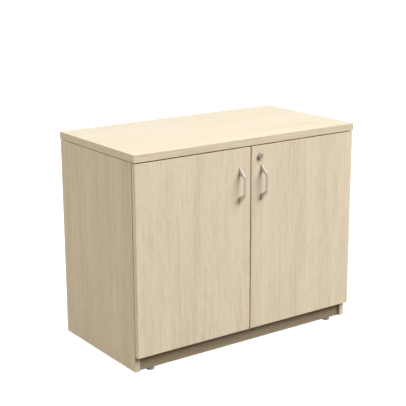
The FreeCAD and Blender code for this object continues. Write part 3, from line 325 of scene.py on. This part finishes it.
# Dowels: turned beech pins glued into the butt joints between the boards and the sides.
# They are hidden once the cabinet is together.
BEECH_STRETCH = (40.0, 900.0, 900.0)
BEECH_BROWNS = ((0.3, (0.58, 0.40, 0.23, 1)), (0.7, (0.44, 0.28, 0.15, 1)))
beech, tree, surface = finish("raw_beech")
pores = noise(tree, spot_on(tree), BEECH_STRETCH, detail=3.0)
tree.links.new(ramp(tree, pores, BEECH_BROWNS), surface.inputs["Base Color"])
surface.inputs["Roughness"].default_value = 0.75
dress(beech, "dowels")

# Cam fittings: cast zinc discs let in flush, each turned with a cross-head driver to draw its steel bolt.
# The same cross recess is cut into every screw head of the cabinet.
CLOUD_STRETCH = (90.0, 90.0, 90.0)
CLOUD_SHARE = 0.5
BRUSH_SHARE = 0.5
METAL_EMBOSS = 0.2
metal_finish, takes, gives = effect(
    "metal_finish",
    (("Place", "NodeSocketVector"), ("Stretch", "NodeSocketVector"), ("Light", "NodeSocketColor"),
     ("Deep", "NodeSocketColor"), ("Rough", "NodeSocketFloat"), ("Spread", "NodeSocketFloat")),
    (("Color", "NodeSocketColor"), ("Roughness", "NodeSocketFloat"), ("Height", "NodeSocketFloat")))
brushed = noise(metal_finish, takes["Place"], takes["Stretch"], detail=3.0, rough=0.5)
cloud = noise(metal_finish, takes["Place"], CLOUD_STRETCH, detail=2.0)
patch = maths(metal_finish, "MULTIPLY", cloud, CLOUD_SHARE)
patch = maths(metal_finish, "MULTIPLY_ADD", brushed, BRUSH_SHARE, patch)
spread = maths(metal_finish, "SUBTRACT", patch, MIDDLE_TONE)
spread = maths(metal_finish, "MULTIPLY", spread, takes["Spread"])
metal_finish.links.new(mixed(metal_finish, patch, takes["Light"], takes["Deep"]), gives["Color"])
metal_finish.links.new(maths(metal_finish, "ADD", takes["Rough"], spread), gives["Roughness"])
metal_finish.links.new(brushed, gives["Height"])


def metal(name, light, deep, rough, spread, stretch, depth):
    made, tree, surface = finish(name)
    skin = put(tree, "ShaderNodeGroup", {
        "Place": spot_on(tree), "Light": light, "Deep": deep, "Rough": rough, "Spread": spread,
        "Stretch": stretch}, node_tree=metal_finish).outputs
    tree.links.new(skin["Color"], surface.inputs["Base Color"])
    tree.links.new(skin["Roughness"], surface.inputs["Roughness"])
    emboss(tree, surface, skin["Height"], METAL_EMBOSS, depth)
    surface.inputs["Metallic"].default_value = 1.0
    return made


zinc = metal("cast_zinc", light=(0.66, 0.66, 0.66, 1), deep=(0.52, 0.52, 0.53, 1), rough=0.38,
             spread=0.2, stretch=(700.0, 700.0, 700.0), depth=0.0001)
steel = metal("plated_steel", light=(0.74, 0.74, 0.72, 1), deep=(0.60, 0.61, 0.62, 1), rough=0.26,
              spread=0.2, stretch=(300.0, 300.0, 300.0), depth=0.00005)
dress(steel, "cam_bolts")
RIM_SIDES = 32
CROSS_WIDTH = 0.13
RECESS_TAPER = 0.55
TIP_WIDTH = 0.6
TIP_LENGTH = 0.4
ROUND_OF_HEIGHT = 0.5
ROUND_OF_RADIUS = 0.12
ROUND_MIDDLE = 0.3
SMOOTH_UP_TO = math.radians(35)


def circle(radius, height):
    angles = [2 * math.pi * step / RIM_SIDES for step in range(RIM_SIDES)]
    return [Vector((radius * math.cos(angle), radius * math.sin(angle), height)) for angle in angles]


def standing(seat, out):
    # Sets a shape that stands on z = 0 at the seat, pointing out
    turn = Vector((0, 0, 1)).rotation_difference(Vector(out)).to_matrix().to_4x4()
    return Matrix.Translation(Vector(seat)) @ turn


def turned(shape, settle, outline):
    # A turned body, closed below, from the radius and height of each ring; gives its open last ring
    rings = [[shape.verts.new(settle @ point) for point in circle(*size)] for size in outline]
    shape.faces.new(list(reversed(rings[0])))
    for low, high in zip(rings, rings[1:]):
        for step in range(RIM_SIDES):
            after = (step + 1) % RIM_SIDES
            shape.faces.new((low[step], low[after], high[after], high[step]))
    return rings[-1]


def headed(shape, seat, out, head_radius, head_height, shank_radius, shank_length, reach, sink):
    # One screw or disc: a turned body with a rounded head and a tapering cross recess
    settle = standing(seat, out)
    soft = min(ROUND_OF_HEIGHT * head_height, ROUND_OF_RADIUS * head_radius)
    face_radius = head_radius - soft
    brim = turned(shape, settle, (
        (shank_radius * TIP_WIDTH, -shank_length),
        (shank_radius, -shank_length + TIP_LENGTH * shank_radius),
        (shank_radius, 0.0), (head_radius, 0.0), (head_radius, head_height - soft),
        (head_radius - ROUND_MIDDLE * soft, head_height - ROUND_MIDDLE * soft),
        (face_radius, head_height)))
    wide = CROSS_WIDTH * head_radius
    one_arm = ((wide, wide, 0), (wide, reach, 0), (-wide, reach, 0))
    cross = []
    for quarter in range(4):
        spin = Matrix.Rotation(quarter * math.pi / 2, 3, "Z")
        cross.extend(spin @ Vector(corner) for corner in one_arm)
    mouth = [shape.verts.new(settle @ Vector((point.x, point.y, head_height))) for point in cross]
    floor_points = [
        Vector((point.x * RECESS_TAPER, point.y * RECESS_TAPER, head_height - sink)) for point in cross]
    base = [shape.verts.new(settle @ point) for point in floor_points]
    both = brim + mouth
    for corners in tessellate_polygon([circle(face_radius, 0), cross]):
        shape.faces.new([both[index] for index in corners])
    for corners in tessellate_polygon([floor_points]):
        shape.faces.new([base[index] for index in corners])
    for step in range(len(cross)):
        after = (step + 1) % len(cross)
        shape.faces.new((mouth[step], mouth[after], base[after], base[step]))


def piece(name, shape, made, body, slot, *stands_for):
    bmesh.ops.recalc_face_normals(shape, faces=shape.faces)
    for edge in shape.edges:
        edge.smooth = len(edge.link_faces) == 2 and edge.calc_face_angle(math.pi) < SMOOTH_UP_TO
    for face in shape.faces:
        face.smooth = True
    mesh = bpy.data.meshes.new(name)
    shape.to_mesh(mesh)
    shape.free()
    mesh.materials.append(made)
    thing = bpy.data.objects.new(name, mesh)
    bpy.context.scene.collection.objects.link(thing)
    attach(thing, body)
    if stands_for:
        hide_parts(*stands_for)


CAM_DISC = dict(head_radius=0.0075, head_height=0.0025, shank_radius=0.0069, shank_length=0.0099,
                reach=0.0046, sink=0.0020)
CAM_FROM_END = 0.0240
CAM_FROM_FRONT = 0.1030
CAM_FROM_BACK = 0.0660
in_side = side_low[0] + CAM_DISC["head_height"]
in_deck = deck_low[2] + CAM_DISC["head_height"]
under_top = side_high[2] - CAM_FROM_END
beside_side = side_low[0] - CAM_FROM_END
shape = bmesh.new()
for side in (-1, 1):
    for line in (deck_low[1] + CAM_FROM_FRONT, deck_high[1] - CAM_FROM_BACK):
        headed(shape, (side * in_side, line, under_top), (-side, 0, 0), **CAM_DISC)
        headed(shape, (side * beside_side, line, in_deck), (0, 0, -1), **CAM_DISC)
piece("cam_disc_faces", shape, zinc, "carcass", "zinc_casting", "cam_discs")

# Top: a 25 mm laminated board with the grain across the cabinet, drawn down by the cam fittings.
# A 2 mm band with a small rounding runs round all four edges, and screws hold it from the rail.
# The top's print is darker and less orange than the other boards': painted shade that evens out the
# stronger light falling on the top.
TOP_SHADED_MAPLE = ((0.677, 0.611, 0.479, 1.0), (0.629, 0.559, 0.428, 1.0), (0.545, 0.469, 0.343, 1.0))
TOP_CONTRAST = 0.65
TOP_SCREW = dict(head_radius=0.0040, head_height=0.0030, shank_radius=0.0020, shank_length=0.0290,
                 reach=0.0024, sink=0.0020)
TOP_SCREW_SHARES = (-0.6, 0.0, 0.6)
TOP_SCREW_FROM_FRONT = 0.0530
# The top takes that darker print, painted shade for its brighter light.
top_shaded_maple = maple_board("maple_top", 8.3, along="x", faces="z", tones=TOP_SHADED_MAPLE, contrast=TOP_CONTRAST)
dress(top_shaded_maple, "top_panel")
dress(maple_band("maple_top_band", 8.9, run="x", cross="y", choose=on_ends), "top_edge_band")
in_rail = rail_low[2] + TOP_SCREW["head_height"]
shape = bmesh.new()
for share in TOP_SCREW_SHARES:
    seat = (share * side_low[0], rail_low[1] + TOP_SCREW_FROM_FRONT, in_rail)
    headed(shape, seat, (0, 0, -1), **TOP_SCREW)
piece("top_screw_heads", shape, steel, "carcass", "plated_steel", "top_screws")

# Shelf pins: plated steel spoons pushed into the drilled rows, with the shelf laid on their tabs.
# Inserts for the feet are steel sleeves driven into the lower edges of kick and back.
dress(steel, "shelf_pins", "foot_inserts")

# Levelling feet: a grey moulded pad that swivels on a zinc-plated threaded stud.
# The stud is turned by its hexagon, just under the boards, to level the cabinet.
PEBBLE_STRETCH = (1500.0, 1500.0, 1500.0)
MOTTLE_STRETCH = (60.0, 60.0, 60.0)
PAD_GREYS = ((0.3, (0.235, 0.232, 0.205, 1)), (0.7, (0.310, 0.305, 0.270, 1)))
PAD_ROUGH = 0.45
PAD_ROUGH_SPREAD = 0.2
moulded, tree, surface = finish("moulded_grey")
pebble = noise(tree, spot_on(tree), PEBBLE_STRETCH, detail=2.0)
mottle = noise(tree, spot_on(tree), MOTTLE_STRETCH, detail=3.0)
rough = maths(tree, "MULTIPLY_ADD", pebble, PAD_ROUGH_SPREAD, PAD_ROUGH)
tree.links.new(ramp(tree, mottle, PAD_GREYS), surface.inputs["Base Color"])
tree.links.new(rough, surface.inputs["Roughness"])
emboss(tree, surface, pebble, strength=0.3, depth=0.0001)
for end in ("front", "rear"):
    for side in ("left", "right"):
        dress(moulded, f"{end}_{side}_foot_pad")
        dress(steel, f"{end}_{side}_foot_stud")

# Concealed hinges: nickel-plated pressed arms and links, with cast cups and plates.
# Two adjusting screws sit in each arm, and cross-head screws hold the plate and the cup.
PLATE_SCREW = dict(head_radius=0.00325, head_height=0.0014, shank_radius=0.00175, shank_length=0.0140,
                   reach=0.0020, sink=0.0016)
ADJUSTER = dict(head_radius=0.0030, head_height=0.0011, shank_radius=0.0018, shank_length=0.0010,
                reach=0.0019, sink=0.0013)
CUP_SCREW = dict(head_radius=0.0035, head_height=0.0006, shank_radius=0.00175, shank_length=0.0112,
                 reach=0.0021, sink=0.0014)
PLATE_HALF_LENGTH = 0.0220
PLATE_THICK = 0.0020
PLATE_SCREW_STEP = 0.0160
ARM_OFF_SIDE = 0.0215
ADJUSTER_LINES = (-0.1800, -0.1580)
CUP_SCREW_STEP = 0.0225
nickel = metal("bright_nickel", light=(0.80, 0.78, 0.74, 1), deep=(0.66, 0.64, 0.61, 1), rough=0.22,
               spread=0.15, stretch=(240.0, 240.0, 240.0), depth=0.00005)
dress(nickel, "hinge_arms", "hinge_plates", "left_hinge_cups", "right_hinge_cups",
      "left_inner_links", "right_inner_links", "left_outer_links", "right_outer_links")
dress(steel, "hinge_arm_pins", "left_hinge_cup_pins", "right_hinge_cup_pins")
plate_low, plate_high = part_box("hinge_plates")
plate_line = (plate_low[1] + plate_high[1]) / 2
hinge_heights = (plate_low[2] + PLATE_HALF_LENGTH, plate_high[2] - PLATE_HALF_LENGTH)
on_plate = side_low[0] - PLATE_THICK
on_arm = side_low[0] - ARM_OFF_SIDE
shape = bmesh.new()
adjusters = bmesh.new()
for height in hinge_heights:
    for side in (-1, 1):
        for step in (-PLATE_SCREW_STEP, PLATE_SCREW_STEP):
            headed(shape, (side * on_plate, plate_line, height + step), (-side, 0, 0), **PLATE_SCREW)
        for line in ADJUSTER_LINES:
            headed(adjusters, (side * on_arm, line, height), (-side, 0, 0), **ADJUSTER)
piece("hinge_plate_screw_heads", shape, steel, "carcass", "plated_steel", "hinge_plate_screws")
piece("hinge_adjusters", adjusters, steel, "carcass", "plated_steel")
for name in ("left", "right"):
    cup_low, cup_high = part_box(f"{name}_hinge_cups")
    cup_middle = (cup_low[0] + cup_high[0]) / 2
    shape = bmesh.new()
    for height in hinge_heights:
        for step in (-CUP_SCREW_STEP, CUP_SCREW_STEP):
            headed(shape, (cup_middle, cup_high[1], height + step), (0, 1, 0), **CUP_SCREW)
    piece(f"{name}_cup_screw_heads", shape, steel, f"{name}_door", "plated_steel",
          f"{name}_hinge_cup_screws")

# Doors: 18 mm laminated boards with the grain upright, edged all round with a 2 mm rounded band.
# They cover the carcass fully and hang on the hinge cups let into their backs.
for name, board, strip in (("left", 9.4, 9.9), ("right", 11.2, 11.7)):
    door_band = maple_band(f"maple_{name}_door_band", strip, run="z", cross="x", choose=on_top_and_bottom)
    dress(maple_board(f"maple_{name}_door", board, along="z", faces="y"), f"{name}_door_panel")
    dress(door_band, f"{name}_door_edge_band")
door_low, door_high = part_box("right_door_edge_band")

# Pulls: bows cast in zinc whose legs widen to their feet, plated in satin nickel and brushed lengthwise.
# Two machine screws from behind each door hold a pull.
PULL_SCREW = dict(head_radius=0.0040, head_height=0.0024, shank_radius=0.0020, shank_length=0.0230,
                  reach=0.0025, sink=0.0018)
PULL_SCREW_STEP = 0.0508
satin = metal("satin_nickel", light=(0.76, 0.72, 0.67, 1), deep=(0.62, 0.58, 0.53, 1), rough=0.34,
              spread=0.16, stretch=(900.0, 900.0, 60.0), depth=0.00004)
for name in ("left", "right"):
    dress(satin, f"{name}_pull")
    pull_low, pull_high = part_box(f"{name}_pull")
    pull_middle = (pull_low[0] + pull_high[0]) / 2
    pull_height = (pull_low[2] + pull_high[2]) / 2
    shape = bmesh.new()
    for step in (-PULL_SCREW_STEP, PULL_SCREW_STEP):
        headed(shape, (pull_middle, door_high[1], pull_height + step), (0, 1, 0), **PULL_SCREW)
    piece(f"{name}_pull_screw_heads", shape, steel, f"{name}_door", "plated_steel", f"{name}_pull_screws")

# Lock: a dull nickel barrel and turning plug in the right door, held by a ring nut behind.
# A pressed steel cam on the plug turns up behind the strike angle under the rail.
CAM_SCREW = dict(head_radius=0.0040, head_height=0.0024, shank_radius=0.0020, shank_length=0.0105,
                 reach=0.0025, sink=0.0018)
STRIKE_SCREW = dict(head_radius=0.00325, head_height=0.0016, shank_radius=0.00175, shank_length=0.0130,
                    reach=0.0020, sink=0.0014)
STRIKE_THICK = 0.0020
STRIKE_SCREW_STEP = 0.0100
dull = metal("dull_nickel", light=(0.60, 0.53, 0.47, 1), deep=(0.48, 0.42, 0.37, 1), rough=0.36,
             spread=0.16, stretch=(900.0, 900.0, 900.0), depth=0.00004)
dress(dull, "lock_barrel", "lock_plug")
dress(zinc, "lock_nut")
dress(steel, "lock_cam", "lock_strike")
cam_low, cam_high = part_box("lock_cam")
strike_low, strike_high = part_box("lock_strike")
lock_middle = (strike_low[0] + strike_high[0]) / 2
lock_height = (cam_low[2] + cam_high[2]) / 2
strike_line = (strike_low[1] + strike_high[1]) / 2
under_strike = strike_high[2] - STRIKE_THICK
shape = bmesh.new()
headed(shape, (lock_middle, cam_high[1], lock_height), (0, 1, 0), **CAM_SCREW)
piece("cam_screw_head", shape, steel, "lock_core", "plated_steel", "cam_screw")
shape = bmesh.new()
for step in (-STRIKE_SCREW_STEP, STRIKE_SCREW_STEP):
    headed(shape, (lock_middle + step, strike_line, under_strike), (0, 0, -1), **STRIKE_SCREW)
piece("strike_screw_heads", shape, steel, "carcass", "plated_steel", "strike_screws")

# Slide bolt: a plated rod in a two-lug bracket behind the left door, pushed up by its knob.
# Two cross-head screws hold the bracket.
BOLT_SCREW = dict(head_radius=0.0030, head_height=0.0014, shank_radius=0.00175, shank_length=0.0130,
                  reach=0.0019, sink=0.0014)
BRACKET_THICK = 0.0020
BOLT_SCREW_IN = 0.0045
BOLT_SCREW_SHARES = (0.68, 0.38)
dress(steel, "bolt_rod")
dress(nickel, "bolt_bracket")
bracket_low, bracket_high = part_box("bolt_bracket")
shape = bmesh.new()
for share in BOLT_SCREW_SHARES:
    height = bracket_low[2] + share * (bracket_high[2] - bracket_low[2])
    seat = (bracket_low[0] + BOLT_SCREW_IN, bracket_low[1] + BRACKET_THICK, height)
    headed(shape, seat, (0, 1, 0), **BOLT_SCREW)
piece("bolt_screw_heads", shape, steel, "left_door", "plated_steel", "bolt_screws")

# Door bumpers: clear polyurethane domes stuck to the doors' backs where they meet the carcass.
# Each stands 2 mm high and sets the gap of the closed door.
HAZE_STRETCH = (800.0, 800.0, 800.0)
HAZE_TINTS = ((0.3, (0.86, 0.86, 0.82, 1)), (0.7, (0.78, 0.78, 0.73, 1)))
BUMPER_ROUGH = 0.16
BUMPER_ROUGH_SPREAD = 0.12
BUMPER_RADIUS = 0.0040
BUMPER_HEIGHT = 0.0020
BUMPER_CROWN = 0.45
BUMPER_STEPS = 6
BUMPER_IN = 0.0140
soft_clear, tree, surface = finish("clear_bumper")
haze = noise(tree, spot_on(tree), HAZE_STRETCH, detail=2.0)
rough = maths(tree, "MULTIPLY_ADD", haze, BUMPER_ROUGH_SPREAD, BUMPER_ROUGH)
tree.links.new(ramp(tree, haze, HAZE_TINTS), surface.inputs["Base Color"])
tree.links.new(rough, surface.inputs["Roughness"])
surface.inputs["Transmission Weight"].default_value = 0.5
surface.inputs["IOR"].default_value = 1.45
dome = []
for step in range(BUMPER_STEPS + 1):
    angle = 0.5 * math.pi * step / BUMPER_STEPS
    narrowing = BUMPER_CROWN * (1.0 - math.cos(angle))
    dome.append((BUMPER_RADIUS * (1.0 - narrowing), BUMPER_HEIGHT * math.sin(angle)))
on_rail = (rail_low[2] + door_high[2]) / 2
on_deck = (deck_low[2] + deck_high[2]) / 2
for name, side in (("left", -1), ("right", 1)):
    shape = bmesh.new()
    for height in (on_rail, on_deck):
        seat = (side * (door_low[0] + BUMPER_IN), door_high[1], height)
        shape.faces.new(turned(shape, standing(seat, (0, 1, 0)), dome))
    piece(f"{name}_bumper_domes", shape, soft_clear, f"{name}_door", "soft_bumper", f"{name}_door_bumpers")

# Studio: a wide matt floor and a surround, both white to the camera, with darker walls in reflections.
# Three soft boxes stand at the front right, the left and behind, and don't show in reflections.
# The camera stands where the photograph was taken from.
FLOOR_REACH = 60.0
FLOOR_IN_SHINE = 0.45
FLOOR_FILL = 0.12
FLOOR_SEEN = 0.20
SURROUND_FILL = 0.10
SURROUND_SEEN = 1.12
WALLS_IN_SHINE = ((0.0, 1.00), (0.12, 0.90), (0.28, 0.62), (0.42, 0.62), (0.70, 1.35))


def grey(value):
    return (value, value, value, 1.0)


shape = bmesh.new()
corners = [(x * FLOOR_REACH, y * FLOOR_REACH, 0.0) for x, y in ((-1, -1), (1, -1), (1, 1), (-1, 1))]
shape.faces.new([shape.verts.new(corner) for corner in corners])
floor_mesh = bpy.data.meshes.new("studio_floor")
shape.to_mesh(floor_mesh)
shape.free()
paint, tree, surface = finish("pale_floor")
rays = put(tree, "ShaderNodeLightPath").outputs
seen = maths(tree, "MULTIPLY_ADD", rays["Is Glossy Ray"], FLOOR_IN_SHINE, rays["Is Camera Ray"])
tree.links.new(mixed(tree, seen, grey(FLOOR_FILL), grey(FLOOR_SEEN)), surface.inputs["Base Color"])
tree.links.new(mixed(tree, seen, grey(0.0), grey(1.0)), surface.inputs["Emission Color"])
surface.inputs["Emission Strength"].default_value = 1.0
surface.inputs["Roughness"].default_value = 0.9
surface.inputs["Specular IOR Level"].default_value = 0.0
floor_mesh.materials.append(paint)
studio_floor = bpy.data.objects.new("studio_floor", floor_mesh)
bpy.context.scene.collection.objects.link(studio_floor)

world = bpy.data.worlds.new("studio_surround")
world.use_nodes = True
tree = world.node_tree
rays = put(tree, "ShaderNodeLightPath").outputs
rise = split(tree, put(tree, "ShaderNodeTexCoord").outputs["Generated"])["Z"]
walls = ramp(tree, rise, [(place, grey(value)) for place, value in WALLS_IN_SHINE])
shine = mixed(tree, rays["Is Glossy Ray"], grey(SURROUND_FILL), walls)
seen = mixed(tree, rays["Is Camera Ray"], shine, grey(SURROUND_SEEN))
tree.links.new(seen, tree.nodes["Background"].inputs["Color"])
bpy.context.scene.world = world

LIGHTS_AIM = Vector((0.0, 0.0, 0.4))


def soft_box(name, place, size, power, colour):
    lamp = bpy.data.lights.new(name, "AREA")
    lamp.shape = "SQUARE"
    lamp.size = size
    lamp.energy = power
    lamp.color = colour
    thing = bpy.data.objects.new(name, lamp)
    thing.visible_glossy = False
    thing.location = place
    thing.rotation_euler = (LIGHTS_AIM - Vector(place)).to_track_quat("-Z", "Y").to_euler()
    bpy.context.scene.collection.objects.link(thing)


soft_box("key_soft_box", place=(4.59, -7.95, 10.97), size=11.0, power=3410.0, colour=(1.0, 1.0, 1.0))
soft_box("left_soft_box", place=(-12.31, 3.07, 6.32), size=7.8, power=1210.0, colour=(1.0, 0.965, 0.86))
soft_box("back_soft_box", place=(3.57, 13.32, 2.83), size=4.6, power=1040.0, colour=(1.0, 1.0, 1.0))

CAMERA_PLACE = Vector((-2.11470, -2.93923, 1.42684))
CAMERA_TURN = math.radians(35.2482)
CAMERA_DIP = math.radians(14.8613)
CAMERA_ROLL = math.radians(-0.2445)
FOCAL_PIXELS = 1056.78
IMAGE_PIXELS = 406
SENSOR_WIDTH = 36.0
lens = bpy.data.cameras.new("photo_camera")
lens.sensor_width = SENSOR_WIDTH
lens.lens = FOCAL_PIXELS / IMAGE_PIXELS * SENSOR_WIDTH
photo_camera = bpy.data.objects.new("photo_camera", lens)
onward = Vector((math.sin(CAMERA_TURN), math.cos(CAMERA_TURN), 0.0))
ahead = onward * math.cos(CAMERA_DIP) - Vector((0.0, 0.0, math.sin(CAMERA_DIP)))
level = Vector((math.cos(CAMERA_TURN), -math.sin(CAMERA_TURN), 0.0))
upright = level.cross(ahead)
right = level * math.cos(CAMERA_ROLL) + upright * math.sin(CAMERA_ROLL)
above = upright * math.cos(CAMERA_ROLL) - level * math.sin(CAMERA_ROLL)
camera_axes = Matrix((right, above, -ahead)).transposed().to_4x4()
photo_camera.matrix_world = Matrix.Translation(CAMERA_PLACE) @ camera_axes
bpy.context.scene.collection.objects.link(photo_camera)
bpy.context.scene.camera = photo_camera
bpy.context.scene.view_settings.view_transform = "Standard"
